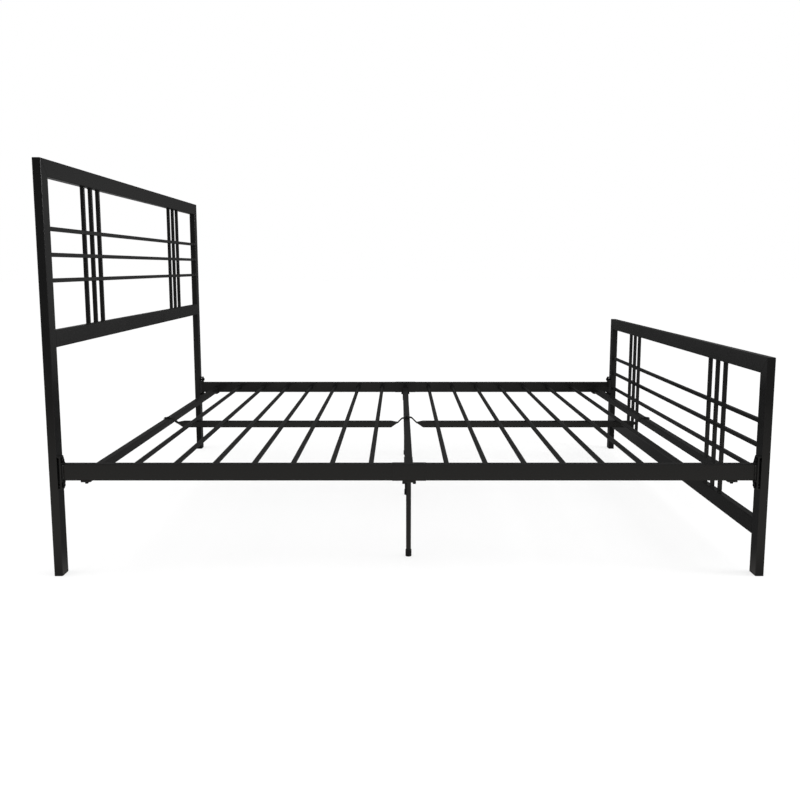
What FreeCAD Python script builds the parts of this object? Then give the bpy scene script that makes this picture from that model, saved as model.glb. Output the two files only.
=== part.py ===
import FreeCAD, Part
import math
import os

import Sketcher
from FreeCAD import Placement, Rotation, Vector

# A king-size metal bed frame, in millimetres.
# +X runs from the headboard to the footboard, +Z is up, and the origin lies on the
# floor under the middle of the frame. "Left" is the -Y side, as seen from the foot.

SIZES = {
    # whole frame
    "overall_length": 2121,
    "overall_width": 2006,
    "head_height": 1220,
    "foot_height": 656,
    # head and foot boards: flat box tube, mitred at the top corners
    "board_thick": 25,
    "board_width": 50,
    "board_wall": 1.5,
    "tube_round": 2.5,
    "inner_round_share": 0.5,
    "panel_opening": 439,
    "bar_side": 12.5,
    "bar_wall": 1.0,
    "bar_round": 1.2,
    "bar_count": 3,
    "bar_pitch": 74.7,
    "spindle_group": 554.5,
    "spindle_count": 3,
    "spindle_pitch": 74.7,
    # plastic glides in the post feet
    "glide_lip": 4,
    "glide_plug": 18,
    "glide_wall": 2,
    "glide_fit": 0.2,
    # side rails, each in two halves that meet inside a sleeve
    "rail_thick": 25,
    "rail_height": 50,
    "rail_wall": 1.5,
    "rail_top": 339,
    "rail_inset": 12.5,
    "rail_meeting_gap": 1,
    "sleeve_length": 100,
    "sleeve_wall": 0.8,
    "sleeve_fit": 0.1,
    # corner brackets between rails and posts
    "bracket_web": 4,
    "bracket_standoff": 7,
    "bracket_lip": 3,
    "ear_height": 25,
    "ear_width": 25,
    # slats and their plastic sockets
    "slats_per_half": 7,
    "first_slat": 116.6,
    "slat_diameter": 15.9,
    "slat_wall": 1.2,
    "slat_end_gap": 1,
    "socket_depth": 14,
    "socket_wall": 1.2,
    "socket_fit": 0.15,
    "socket_flange": 22,
    "socket_flange_thick": 2,
    # cross-members at the head, the foot and the middle, with bolting tabs
    "member_side": 25,
    "member_wall": 1.5,
    "member_setback": 102,
    "member_end_gap": 0.3,
    "tab_thick": 5,
    "tab_lap": 30,
    "tab_edge": 0.5,
    "tab_width": 29,
    "centre_tab_width": 40,
    "centre_tab_bolt": 15.6,
    # lengthwise support tubes with pressed ends
    "support_side": 25,
    "support_wall": 1.5,
    "support_clearance": 3.05,
    "press_width": 26,
    "press_thick": 3,
    "press_round": 1.2,
    "press_bend": 10,
    "foot_bend": 3,
    "press_lift": 6,
    "press_run": 2,
    "press_slit": 1,
    "slit_round": 0.3,
    "slit_start_share": 0.25,
    "taper_length": 24,
    "centre_step": 6,
    "end_step": 5,
    "centre_lap": 12,
    "end_overhang": 2.5,
    # centre legs
    "leg_diameter": 15.9,
    "leg_wall": 1.2,
    "leg_setback": 197,
    "saddle_length": 212,
    "saddle_wall": 1.5,
    "saddle_rise": 12.5,
    "saddle_fit": 0.1,
    "saddle_bolt": 70,
    "pad_length": 64,
    "pad_bolt": 22,
    "cap_height": 22,
    "cap_floor": 3,
    "cap_wall": 1.6,
    "cap_fit": 0.15,
    # M8 corner bolts
    "big_thread": 8,
    "big_length": 30,
    "big_head": 14,
    "big_head_height": 4.4,
    "big_key": 5,
    "big_washer": 17,
    "big_washer_thick": 1.6,
    "big_insert": 11,
    "big_collar": 14,
    "big_insert_length": 16,
    # M6 bolts: low heads on the support tubes and legs, tall heads under the tabs
    "small_thread": 6,
    "small_length": 16,
    "small_head": 10.5,
    "small_head_height": 3.3,
    "small_key": 4,
    "tall_head": 10,
    "tall_head_height": 6,
    "tall_key": 5,
    "small_insert": 9,
    "small_collar": 11.5,
    "small_insert_length": 13,
    # fits shared by every bolt
    "collar_thick": 3,
    "thread_fit": 0.15,
    "insert_fit": 0.15,
    "bolt_hole_fit": 0.4,
    "key_depth_share": 0.6,
    "dome_share": 0.55,
    "tall_chamfer_share": 0.1,
    "tip_share": 0.125,
}

X_AXIS = "X"
Y_AXIS = "Y"
Z_AXIS = "Z"
# The origin plane that stands square to each axis.
SQUARE_PLANE = {X_AXIS: "YZ_Plane", Y_AXIS: "XZ_Plane", Z_AXIS: "XY_Plane"}
# A sketch on the XZ plane faces -Y, so its offsets count the other way.
OFFSET_SIGN = {X_AXIS: 1, Y_AXIS: -1, Z_AXIS: 1}

SIDES = {"left": -1, "right": 1}
ENDS = {"head": -1, "foot": 1}

doc = FreeCAD.newDocument("bed_frame")
sheet = doc.addObject("Spreadsheet::Sheet", "sizes")
nodes = {}


class Size:
    """A number together with the spreadsheet expression that it comes from."""

    def __init__(self, text, value):
        self.text = text
        self.value = value

    def __add__(self, other):
        other = as_size(other)
        return Size(f"({self.text} + {other.text})", self.value + other.value)

    def __sub__(self, other):
        other = as_size(other)
        return Size(f"({self.text} - {other.text})", self.value - other.value)

    def __mul__(self, other):
        other = as_size(other)
        return Size(f"({self.text} * {other.text})", self.value * other.value)

    def __truediv__(self, other):
        other = as_size(other)
        return Size(f"({self.text} / {other.text})", self.value / other.value)

    def __neg__(self):
        return self * -1

    def __rmul__(self, other):
        return as_size(other) * self


def as_size(number):
    """Plain numbers may stand beside Sizes in the sums."""
    if isinstance(number, Size):
        return number
    return Size(f"({float(number)})", float(number))


class Sizes:
    """Every cell of the sheet as an attribute of the same name."""


def fill_sheet():
    cells = Sizes()
    for row, (alias, value) in enumerate(SIZES.items(), start=1):
        sheet.set(f"A{row}", alias)
        sheet.set(f"B{row}", str(value))
        sheet.setAlias(f"B{row}", alias)
        setattr(cells, alias, Size(f"sizes.{alias}", float(value)))
    doc.recompute()
    return cells


s = fill_sheet()
ZERO = as_size(0)


# ---------------------------------------------------------------- sketch helpers

def bind(item, name, size):
    item.setExpression(name, as_size(size).text)


def bind_place(item, place):
    for letter, size in zip("xyz", place):
        bind(item, f"Placement.Base.{letter}", size)


def sketch_on(body, name, axis, offset=None):
    """A sketch on the body's own origin plane that stands square to the axis."""
    role = SQUARE_PLANE[axis]
    plane = [item for item in body.Origin.OriginFeatures if item.Role == role][0]
    sketch = body.newObject("Sketcher::SketchObject", name)
    sketch.AttachmentSupport = (plane, [""])
    sketch.MapMode = "FlatFace"
    if offset is not None:
        bind(sketch, "AttachmentOffset.Base.z", as_size(offset) * OFFSET_SIGN[axis])
    return sketch


def hold(sketch, name, kind, *geometry_and_value):
    """Add a driving dimension and tie it to its expression."""
    *geometry, size = geometry_and_value
    index = sketch.addConstraint(Sketcher.Constraint(kind, *geometry, size.value))
    sketch.renameConstraint(index, name)
    bind(sketch, f"Constraints.{name}", size)


def hold_point(sketch, name, geometry, end, x, y):
    """Fix a point by its distances from the origin, or onto an axis where one is nil."""
    x = as_size(x)
    y = as_size(y)
    if x.value == 0:
        sketch.addConstraint(Sketcher.Constraint("PointOnObject", geometry, end, -2))
    else:
        hold(sketch, f"{name}_x", "DistanceX", -1, 1, geometry, end, x)
    if y.value == 0:
        sketch.addConstraint(Sketcher.Constraint("PointOnObject", geometry, end, -1))
    else:
        hold(sketch, f"{name}_y", "DistanceY", -1, 1, geometry, end, y)


def add_circle(sketch, name, x, y, radius):
    x = as_size(x)
    y = as_size(y)
    radius = as_size(radius)
    circle = Part.Circle(Vector(x.value, y.value, 0), Vector(0, 0, 1), radius.value)
    index = sketch.addGeometry(circle)
    hold(sketch, f"{name}_radius", "Radius", index, radius)
    hold_point(sketch, name, index, 3, x, y)


def add_polygon(sketch, name, points):
    """A closed outline of straight lines, each corner held from the origin."""
    corners = [(as_size(x), as_size(y)) for x, y in points]
    vectors = [Vector(x.value, y.value, 0) for x, y in corners]
    lines = []
    for start, end in zip(vectors, vectors[1:] + vectors[:1]):
        lines.append(sketch.addGeometry(Part.LineSegment(start, end)))
    for line, following in zip(lines, lines[1:] + lines[:1]):
        sketch.addConstraint(Sketcher.Constraint("Coincident", line, 2, following, 1))
    for number, (line, (x, y)) in enumerate(zip(lines, corners)):
        hold_point(sketch, f"{name}_{number}", line, 1, x, y)


def add_rounded(sketch, name, width, height, radius):
    """A rectangle with round corners, centred on the sketch's origin."""
    half_width = as_size(width) / 2
    half_height = as_size(height) / 2
    radius = as_size(radius)
    a = half_width.value
    b = half_height.value
    r = radius.value
    runs = [
        ((r - a, -b), (a - r, -b)),
        ((a, r - b), (a, b - r)),
        ((a - r, b), (r - a, b)),
        ((-a, b - r), (-a, r - b)),
    ]
    centres = [(a - r, r - b), (a - r, b - r), (r - a, b - r), (r - a, r - b)]
    lines = []
    arcs = []
    quarter = math.radians(90)
    for turn, ((start, end), centre) in enumerate(zip(runs, centres)):
        line = Part.LineSegment(Vector(*start, 0), Vector(*end, 0))
        circle = Part.Circle(Vector(*centre, 0), Vector(0, 0, 1), r)
        arc = Part.ArcOfCircle(circle, (turn - 1) * quarter, turn * quarter)
        lines.append(sketch.addGeometry(line))
        arcs.append(sketch.addGeometry(arc))
    for turn, (line, arc) in enumerate(zip(lines, arcs)):
        following = lines[(turn + 1) % 4]
        along, across = ("Horizontal", "Vertical") if turn % 2 == 0 else ("Vertical", "Horizontal")
        sketch.addConstraint(Sketcher.Constraint(along, line))
        sketch.addConstraint(Sketcher.Constraint("Coincident", line, 2, arc, 1))
        sketch.addConstraint(Sketcher.Constraint("Coincident", arc, 2, following, 1))
        sketch.addConstraint(Sketcher.Constraint(across, arc, 3, arc, 1))
        sketch.addConstraint(Sketcher.Constraint(along, arc, 3, arc, 2))
        if turn > 0:
            sketch.addConstraint(Sketcher.Constraint("Equal", arcs[0], arc))
    hold(sketch, f"{name}_radius", "Radius", arcs[0], radius)
    hold(sketch, f"{name}_bottom", "DistanceY", -1, 1, lines[0], 1, -half_height)
    hold(sketch, f"{name}_right", "DistanceX", -1, 1, lines[1], 1, half_width)
    hold(sketch, f"{name}_top", "DistanceY", -1, 1, lines[2], 1, half_height)
    hold(sketch, f"{name}_left", "DistanceX", -1, 1, lines[3], 1, -half_width)


def add_hexagon(sketch, name, across_flats):
    """A regular hexagon for a key socket, one corner on the horizontal axis."""
    count = 6
    radius = as_size(across_flats) / 2 / math.cos(math.pi / count)
    guide = Part.Circle(Vector(0, 0, 0), Vector(0, 0, 1), radius.value)
    circle = sketch.addGeometry(guide, True)
    sketch.addConstraint(Sketcher.Constraint("Coincident", circle, 3, -1, 1))
    hold(sketch, f"{name}_radius", "Radius", circle, radius)
    start = Vector(radius.value, 0, 0)
    turns = [Rotation(Vector(0, 0, 1), 360 / count * number) for number in range(count)]
    corners = [turn.multVec(start) for turn in turns]
    lines = []
    for first, second in zip(corners, corners[1:] + corners[:1]):
        lines.append(sketch.addGeometry(Part.LineSegment(first, second)))
    for line, following in zip(lines, lines[1:] + lines[:1]):
        sketch.addConstraint(Sketcher.Constraint("Coincident", line, 2, following, 1))
        sketch.addConstraint(Sketcher.Constraint("PointOnObject", line, 1, circle))
    for line in lines[1:]:
        sketch.addConstraint(Sketcher.Constraint("Equal", lines[0], line))
    sketch.addConstraint(Sketcher.Constraint("PointOnObject", lines[0], 1, -1))


# ---------------------------------------------------------------- feature helpers

def new_body(label, place, rotation=None):
    body = doc.addObject("PartDesign::Body", label)
    body.Label = label
    if rotation is not None:
        body.Placement = Placement(Vector(), rotation)
    bind_place(body, place)
    return body


def extrude(body, kind, name, sketch, length):
    """A pad or a pocket that reaches the same way to both sides of its sketch."""
    feature = body.newObject(f"PartDesign::{kind}", name)
    feature.Profile = sketch
    feature.SideType = "Symmetric"
    bind(feature, "Length", length)
    return feature


def revolve(body, name, sketch):
    feature = body.newObject("PartDesign::Revolution", name)
    feature.Profile = sketch
    feature.ReferenceAxis = (sketch, ["V_Axis"])
    feature.Angle = 360
    return feature


def drill(body, name, axis, offset, holes, depth):
    """Round holes square to one wall: the sketch lies in the middle of that wall."""
    sketch = sketch_on(body, f"{name}_places", axis, offset)
    for number, (x, y, radius) in enumerate(holes):
        add_circle(sketch, f"hole{number}", x, y, radius)
    extrude(body, "Pocket", name, sketch, depth)


def box_tube(label, axis, place, width, height, wall, corner, length):
    """A rectangular tube along one axis, centred on its place."""
    body = new_body(label, place)
    sketch = sketch_on(body, f"{label}_section", axis)
    add_rounded(sketch, "outer", width, height, corner)
    add_rounded(sketch, "inner", width - 2 * wall, height - 2 * wall,
                corner * s.inner_round_share)
    extrude(body, "Pad", f"{label}_run", sketch, length)
    return body


def round_tube(label, axis, place, diameter, wall, length):
    body = new_body(label, place)
    sketch = sketch_on(body, f"{label}_section", axis)
    add_circle(sketch, "outer", 0, 0, diameter / 2)
    add_circle(sketch, "inner", 0, 0, diameter / 2 - wall)
    extrude(body, "Pad", f"{label}_run", sketch, length)
    return body


def turned(label, place, rotation, points):
    """A piece turned about its own axis from half of its outline."""
    body = new_body(label, place, rotation)
    sketch = sketch_on(body, f"{label}_profile", Y_AXIS)
    add_polygon(sketch, "edge", points)
    revolve(body, f"{label}_turn", sketch)
    return body


def keep(label, piece):
    piece.Label = label
    nodes[label] = piece


def keep_group(label, pieces):
    group = doc.addObject("Part::Compound", f"{label}_group")
    group.Links = pieces
    keep(label, group)


# ---------------------------------------------------------------- shared places

half_length = s.overall_length / 2
half_width = s.overall_width / 2
board_x = half_length - s.board_thick / 2
board_inner_x = half_length - s.board_thick
post_y = half_width - s.board_width / 2
post_inner_y = half_width - s.board_width
rail_y = half_width - s.rail_inset - s.rail_thick / 2
rail_inner_y = rail_y - s.rail_thick / 2
rail_z = s.rail_top - s.rail_height / 2
rail_bottom = s.rail_top - s.rail_height
rail_end_x = board_inner_x - s.bracket_standoff - s.bracket_web
member_x = half_length - s.member_setback
member_top = rail_bottom + s.member_side
slat_pitch = (member_x - s.first_slat) / s.slats_per_half
sleeve_growth = s.sleeve_fit + s.sleeve_wall
beam_bottom = rail_bottom - sleeve_growth
beam_top = beam_bottom + s.member_side
support_z = rail_z - s.slat_diameter / 2 - s.support_clearance - s.support_side / 2
leg_y = half_width - s.leg_setback
ear_bolt_y = half_width - s.ear_width / 2
ear_bolt_z = [s.rail_top + s.ear_height / 2, rail_bottom - s.ear_height / 2]
big_hole = s.big_thread / 2 + s.bolt_hole_fit
small_hole = s.small_thread / 2 + s.bolt_hole_fit
big_insert_hole = s.big_insert / 2 + s.insert_fit
small_insert_hole = s.small_insert / 2 + s.insert_fit


# ---------------------------------------------------------------- head and foot boards

def mitre(body, name, sketch_points):
    """Cut a corner off square to the board's face, right through its thickness."""
    sketch = sketch_on(body, f"{name}_line", X_AXIS)
    add_polygon(sketch, "corner", sketch_points)
    extrude(body, "Pocket", name, sketch, 2 * s.board_thick)


def post(label, end, side, height):
    """A box tube standing on its glide, mitred at the top, with two insert holes."""
    length = height - s.glide_lip
    place = (end * board_x, side * post_y, s.glide_lip + length / 2)
    body = box_tube(label, Z_AXIS, place, s.board_thick, s.board_width, s.board_wall,
                    s.tube_round, length)
    top = length / 2
    outer = side * s.board_width / 2
    beyond = s.board_thick
    mitre(body, f"{label}_mitre", [
        (-outer - side * beyond, top - s.board_width - beyond),
        (outer + side * beyond, top + beyond),
        (-outer - side * beyond, top + beyond),
    ])
    wall_middle = -end * (s.board_thick - s.board_wall) / 2
    local_y = side * (ear_bolt_y - post_y)
    holes = [(local_y, z - s.glide_lip - length / 2, big_insert_hole) for z in ear_bolt_z]
    drill(body, f"{label}_insert_holes", X_AXIS, wall_middle, holes, 2 * s.board_wall)
    keep(label, body)


def top_rail(label, end, height):
    """The rail across the top, mitred at both ends to meet the posts."""
    place = (end * board_x, ZERO, height - s.board_width / 2)
    body = box_tube(label, Y_AXIS, place, s.board_thick, s.board_width, s.board_wall,
                    s.tube_round, s.overall_width)
    half_rail = s.board_width / 2
    beyond = s.board_thick
    for name, side in SIDES.items():
        mitre(body, f"{label}_mitre_{name}", [
            (side * (half_width + beyond), half_rail + beyond),
            (side * (half_width - s.board_width - beyond), -half_rail - beyond),
            (side * (half_width + beyond), -half_rail - beyond),
        ])
    keep(label, body)


def low_rail(label, end, bottom):
    place = (end * board_x, ZERO, bottom + s.board_width / 2)
    keep(label, box_tube(label, Y_AXIS, place, s.board_thick, s.board_width, s.board_wall,
                         s.tube_round, 2 * post_inner_y))


def cross_bars(label, end, middle):
    """The level bars, welded from post to post."""
    bars = []
    centre_bar = (s.bar_count - 1) / 2
    for number in range(SIZES["bar_count"]):
        z = middle + s.bar_pitch * (centre_bar - number)
        bars.append(box_tube(f"{label}_{number + 1}", Y_AXIS, (end * board_x, ZERO, z),
                             s.bar_side, s.bar_side, s.bar_wall, s.bar_round,
                             2 * post_inner_y))
    keep_group(label, bars)


def spindle_spans(middle):
    """Clear heights between the rails and the level bars, from the lowest up."""
    low = middle - s.panel_opening / 2
    spans = []
    for number in reversed(range(SIZES["bar_count"])):
        z = middle + s.bar_pitch * ((s.bar_count - 1) / 2 - number)
        spans.append((low, z - s.bar_side / 2))
        low = z + s.bar_side / 2
    spans.append((low, middle + s.panel_opening / 2))
    return spans


def spindles(label, end, side, middle):
    """Upright bars in line with the level bars, cut into short lengths between them."""
    pieces = []
    centre_spindle = (s.spindle_count - 1) / 2
    for number in range(SIZES["spindle_count"]):
        y = side * s.spindle_group + s.spindle_pitch * (centre_spindle - number)
        for step, (low, high) in enumerate(spindle_spans(middle)):
            place = (end * board_x, y, (low + high) / 2)
            pieces.append(box_tube(f"{label}_{number + 1}_{step + 1}", Z_AXIS, place,
                                   s.bar_side, s.bar_side, s.bar_wall, s.bar_round,
                                   high - low))
    keep_group(label, pieces)


def glide(label, end, side):
    """A plastic foot: a lip under the post and a plug inside it."""
    plug_thick = s.board_thick - 2 * s.board_wall - 2 * s.glide_fit
    plug_width = s.board_width - 2 * s.board_wall - 2 * s.glide_fit
    body = new_body(label, (end * board_x, side * post_y, ZERO))
    lip = sketch_on(body, f"{label}_lip_outline", Z_AXIS, s.glide_lip / 2)
    add_rounded(lip, "lip", s.board_thick, s.board_width, s.tube_round)
    extrude(body, "Pad", f"{label}_lip", lip, s.glide_lip)
    plug = sketch_on(body, f"{label}_plug_outline", Z_AXIS, s.glide_lip + s.glide_plug / 2)
    plug_round = s.tube_round * s.inner_round_share
    add_rounded(plug, "outer", plug_thick, plug_width, plug_round)
    add_rounded(plug, "inner", plug_thick - 2 * s.glide_wall, plug_width - 2 * s.glide_wall,
                plug_round * s.inner_round_share)
    extrude(body, "Pad", f"{label}_plug", plug, s.glide_plug)
    return body


def end_board(end_name, height):
    end = ENDS[end_name]
    low_rail_bottom = height - s.panel_opening - 2 * s.board_width
    middle = height - s.board_width - s.panel_opening / 2
    for side_name, side in SIDES.items():
        post(f"{end_name}_post_{side_name}", end, side, height)
        spindles(f"{end_name}_spindles_{side_name}", end, side, middle)
    top_rail(f"{end_name}_top_rail", end, height)
    low_rail(f"{end_name}_low_rail", end, low_rail_bottom)
    cross_bars(f"{end_name}_cross_bars", end, middle)
    glides = [glide(f"{end_name}_glide_{name}", end, side) for name, side in SIDES.items()]
    keep_group(f"{end_name}_post_glides", glides)


# ---------------------------------------------------------------- side rails

def slat_places():
    return [s.first_slat + slat_pitch * number for number in range(SIZES["slats_per_half"])]


def side_rail(label, end, side):
    """Half of a side rail, holed for slat sockets and, underneath, for bolt inserts."""
    start = s.rail_meeting_gap / 2
    centre = (start + rail_end_x) / 2
    place = (end * centre, side * rail_y, rail_z)
    body = box_tube(label, X_AXIS, place, s.rail_thick, s.rail_height, s.rail_wall,
                    s.tube_round, rail_end_x - start)
    socket_hole = s.slat_diameter / 2 + 2 * s.socket_fit + s.socket_wall
    sockets = [(end * (x - centre), ZERO, socket_hole) for x in slat_places()]
    inner_wall = -side * (s.rail_thick - s.rail_wall) / 2
    drill(body, f"{label}_socket_holes", Y_AXIS, inner_wall, sockets, 2 * s.rail_wall)
    bolts = [(end * (x - centre), ZERO, small_insert_hole) for x in (s.centre_tab_bolt, member_x)]
    bottom_wall = (s.rail_wall - s.rail_height) / 2
    drill(body, f"{label}_insert_holes", Z_AXIS, bottom_wall, bolts, 2 * s.rail_wall)
    keep(label, body)


def splice(label, side):
    """A sleeve round the two rail halves, clamped by the centre beam's bolts."""
    body = box_tube(label, X_AXIS, (ZERO, side * rail_y, rail_z),
                    s.rail_thick + 2 * sleeve_growth, s.rail_height + 2 * sleeve_growth,
                    s.sleeve_wall, s.tube_round + sleeve_growth, s.sleeve_length)
    holes = [(end * s.centre_tab_bolt, ZERO, small_hole) for end in ENDS.values()]
    bottom_wall = (s.sleeve_wall - s.rail_height) / 2 - sleeve_growth
    drill(body, f"{label}_bolt_holes", Z_AXIS, bottom_wall, holes, 2 * s.sleeve_wall)
    keep(label, body)


def corner_bracket(label, end, side):
    """A plate welded to the rail's end, with ears above and below the rail and a lip
    along each end that stands the plate off the post."""
    low = rail_bottom - s.ear_height
    high = s.rail_top + s.ear_height
    outer = side * half_width
    ear = side * (half_width - s.ear_width)
    inner = side * rail_inner_y
    body = new_body(label, (end * (rail_end_x + s.bracket_web / 2), ZERO, ZERO))
    plate = sketch_on(body, f"{label}_outline", X_AXIS)
    add_polygon(plate, "plate", [
        (outer, low), (outer, high), (ear, high),
        (inner, s.rail_top), (inner, rail_bottom), (ear, low),
    ])
    extrude(body, "Pad", f"{label}_plate", plate, s.bracket_web)
    lip_middle = end * (s.bracket_web + s.bracket_standoff) / 2
    for name, start in (("low", low), ("high", high - s.bracket_lip)):
        lip = sketch_on(body, f"{label}_{name}_outline", X_AXIS, lip_middle)
        add_polygon(lip, "lip", [
            (outer, start), (outer, start + s.bracket_lip),
            (ear, start + s.bracket_lip), (ear, start),
        ])
        extrude(body, "Pad", f"{label}_{name}_lip", lip, s.bracket_standoff)
    holes = [(side * ear_bolt_y, z, big_hole) for z in ear_bolt_z]
    drill(body, f"{label}_bolt_holes", X_AXIS, ZERO, holes, 2 * s.bracket_web)
    keep(label, body)


# ---------------------------------------------------------------- slats

def slats(label, end):
    """Round tubes across the frame, each end inside a socket."""
    half_slat = rail_inner_y + s.socket_depth - s.slat_end_gap
    pieces = []
    for number, x in enumerate(slat_places(), start=1):
        pieces.append(round_tube(f"{label}_{number}", Y_AXIS, (end * x, ZERO, rail_z),
                                 s.slat_diameter, s.slat_wall, 2 * half_slat))
    keep_group(label, pieces)


def slat_sockets(label, end, side):
    """Flanged plastic cups pressed into the rail's inner face."""
    bore = s.slat_diameter / 2 + s.socket_fit
    outer = bore + s.socket_wall
    inward = Rotation(Vector(1, 0, 0), 90 * side)
    pieces = []
    for number, x in enumerate(slat_places(), start=1):
        place = (end * x, side * rail_inner_y, rail_z)
        pieces.append(turned(f"{label}_{number}", place, inward, [
            (ZERO, -s.socket_depth - s.socket_wall),
            (outer, -s.socket_depth - s.socket_wall),
            (outer, ZERO),
            (s.socket_flange / 2, ZERO),
            (s.socket_flange / 2, s.socket_flange_thick),
            (bore, s.socket_flange_thick),
            (bore, -s.socket_depth),
            (ZERO, -s.socket_depth),
        ]))
    keep_group(label, pieces)


# ---------------------------------------------------------------- cross-members

def end_member(label, end):
    """The cross-member near one board, its top holed for the support tube's insert."""
    place = (end * member_x, ZERO, rail_bottom + s.member_side / 2)
    body = box_tube(label, Y_AXIS, place, s.member_side, s.member_side, s.member_wall,
                    s.tube_round, 2 * (rail_inner_y - s.member_end_gap))
    top_wall = (s.member_side - s.member_wall) / 2
    drill(body, f"{label}_insert_hole", Z_AXIS, top_wall, [(0, 0, small_insert_hole)],
          2 * s.member_wall)
    keep(label, body)


def leg_bolt_places():
    """Where bolts go up into the centre beam, from the left leg to the right."""
    return [
        -leg_y - s.saddle_bolt, -leg_y + s.saddle_bolt,
        -s.pad_bolt, s.pad_bolt,
        leg_y - s.saddle_bolt, leg_y + s.saddle_bolt,
    ]


def centre_beam(label):
    """The middle cross-member, level with the underside of the sleeves."""
    half_beam = rail_inner_y - sleeve_growth - s.member_end_gap
    place = (ZERO, ZERO, beam_bottom + s.member_side / 2)
    body = box_tube(label, Y_AXIS, place, s.member_side, s.member_side, s.member_wall,
                    s.tube_round, 2 * half_beam)
    wall_middle = (s.member_side - s.member_wall) / 2
    drill(body, f"{label}_top_hole", Z_AXIS, wall_middle, [(0, 0, small_insert_hole)],
          2 * s.member_wall)
    below = [(ZERO, y, small_insert_hole) for y in leg_bolt_places()]
    drill(body, f"{label}_leg_holes", Z_AXIS, -wall_middle, below, 2 * s.member_wall)
    keep(label, body)


def tab(label, x, side, top, width, bolts):
    """A flat tab welded under a cross-member and reaching out beneath the rail."""
    inner_end = rail_inner_y - s.tab_lap
    outer_end = rail_y + s.rail_thick / 2 - s.tab_edge
    body = new_body(label, (x, side * (inner_end + outer_end) / 2, top - s.tab_thick / 2))
    outline = sketch_on(body, f"{label}_outline", Z_AXIS)
    add_rounded(outline, "tab", width, outer_end - inner_end, s.tube_round)
    extrude(body, "Pad", f"{label}_plate", outline, s.tab_thick)
    bolt_y = side * (rail_y - (inner_end + outer_end) / 2)
    holes = [(bolt, bolt_y, small_hole) for bolt in bolts]
    drill(body, f"{label}_bolt_holes", Z_AXIS, ZERO, holes, 2 * s.tab_thick)
    return body


def tabs():
    for end_name, end in ENDS.items():
        label = f"{end_name}_member_tabs"
        keep_group(label, [
            tab(f"{label}_{name}", end * member_x, side, rail_bottom, s.tab_width, [ZERO])
            for name, side in SIDES.items()
        ])
    pair = [-s.centre_tab_bolt, s.centre_tab_bolt]
    keep_group("centre_beam_tabs", [
        tab(f"centre_beam_tabs_{name}", ZERO, side, beam_bottom, s.centre_tab_width, pair)
        for name, side in SIDES.items()
    ])


# ---------------------------------------------------------------- support tubes

def rounded_path(points, radii):
    """Straight runs joined by tangent arcs, one radius for each corner."""
    edges = []
    start = points[0]
    for before, corner, after, radius in zip(points, points[1:], points[2:], radii):
        inward = (before - corner).normalize()
        onward = (after - corner).normalize()
        middle_line = (inward + onward).normalize()
        half_angle_sine = middle_line.cross(inward).Length
        arm = radius * middle_line.dot(inward) / half_angle_sine
        first = corner + inward * arm
        last = corner + onward * arm
        middle = corner + middle_line * (radius / half_angle_sine - radius)
        edges.append(Part.LineSegment(start, first).toShape())
        edges.append(Part.Arc(first, middle, last).toShape())
        start = last
    edges.append(Part.LineSegment(start, points[-1]).toShape())
    return edges


def square_normal(start, end):
    """The direction square to a run, in the upright plane that holds the run."""
    along = (end - start).normalize()
    return Vector(-along.z, 0, along.x)


def strip_side(points, bends, offset):
    """One long face of a bent strip, a fixed distance off its middle line."""
    normals = [square_normal(start, end) for start, end in zip(points, points[1:])]
    moved = [points[0] + normals[0] * offset]
    radii = []
    for corner, before, after, bend in zip(points[1:], normals, normals[1:], bends):
        mitre_line = (before + after).normalize()
        moved.append(corner + mitre_line * (offset / mitre_line.dot(before)))
        bends_to_normal = before.cross(after).y < 0
        radii.append(bend + (-offset if bends_to_normal else offset))
    moved.append(points[-1] + normals[-1] * offset)
    return rounded_path(moved, radii)


def rounded_section(x, z, width, height, radius):
    """A closed outline square to X with round corners, about the height z."""
    a = width / 2
    b = height / 2
    slope = radius * (1 - 0.5 ** 0.5)
    outline = []
    for turn in range(4):
        # half sizes swap as the outline goes round the four sides
        p, q = (a, b) if turn % 2 == 0 else (b, a)
        spin = Rotation(Vector(1, 0, 0), 90 * turn)
        run = [Vector(0, radius - p, -q), Vector(0, p - radius, -q)]
        bend = [Vector(0, p - slope, slope - q), Vector(0, p, radius - q)]
        run_start, run_end, bend_middle, bend_end = [spin.multVec(v) for v in run + bend]
        outline.append(Part.LineSegment(run_start, run_end).toShape())
        outline.append(Part.Arc(run_end, bend_middle, bend_end).toShape())
    wire = Part.Wire(outline)
    wire.translate(Vector(x, 0, z))
    return wire


def prism(x_from, x_to, z, width, height, radius):
    face = Part.Face(rounded_section(x_from, z, width, height, radius))
    return face.extrude(Vector(x_to - x_from, 0, 0))


def taper(x_press, x_tube, z_press, z_tube):
    """The stretch where the square tube is squeezed to a flat strip, off its middle height."""
    side = s.support_side.value
    inside = side - 2 * s.support_wall.value
    corner = s.tube_round.value
    inner_corner = corner * s.inner_round_share.value
    press = s.press_thick.value
    slit = s.press_slit.value
    outer = Part.makeLoft([
        rounded_section(x_press, z_press, s.press_width.value, press, s.press_round.value),
        rounded_section(x_tube, z_tube, side, side, corner),
    ], True)
    share = s.slit_start_share.value
    x_slit = x_press + (x_tube - x_press) * share
    z_slit = z_press + (z_tube - z_press) * share
    hollow = Part.makeLoft([
        rounded_section(x_slit, z_slit, inside, slit, s.slit_round.value),
        rounded_section(x_tube, z_tube, inside, inside, inner_corner),
    ], True)
    return outer.cut(hollow)


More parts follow.
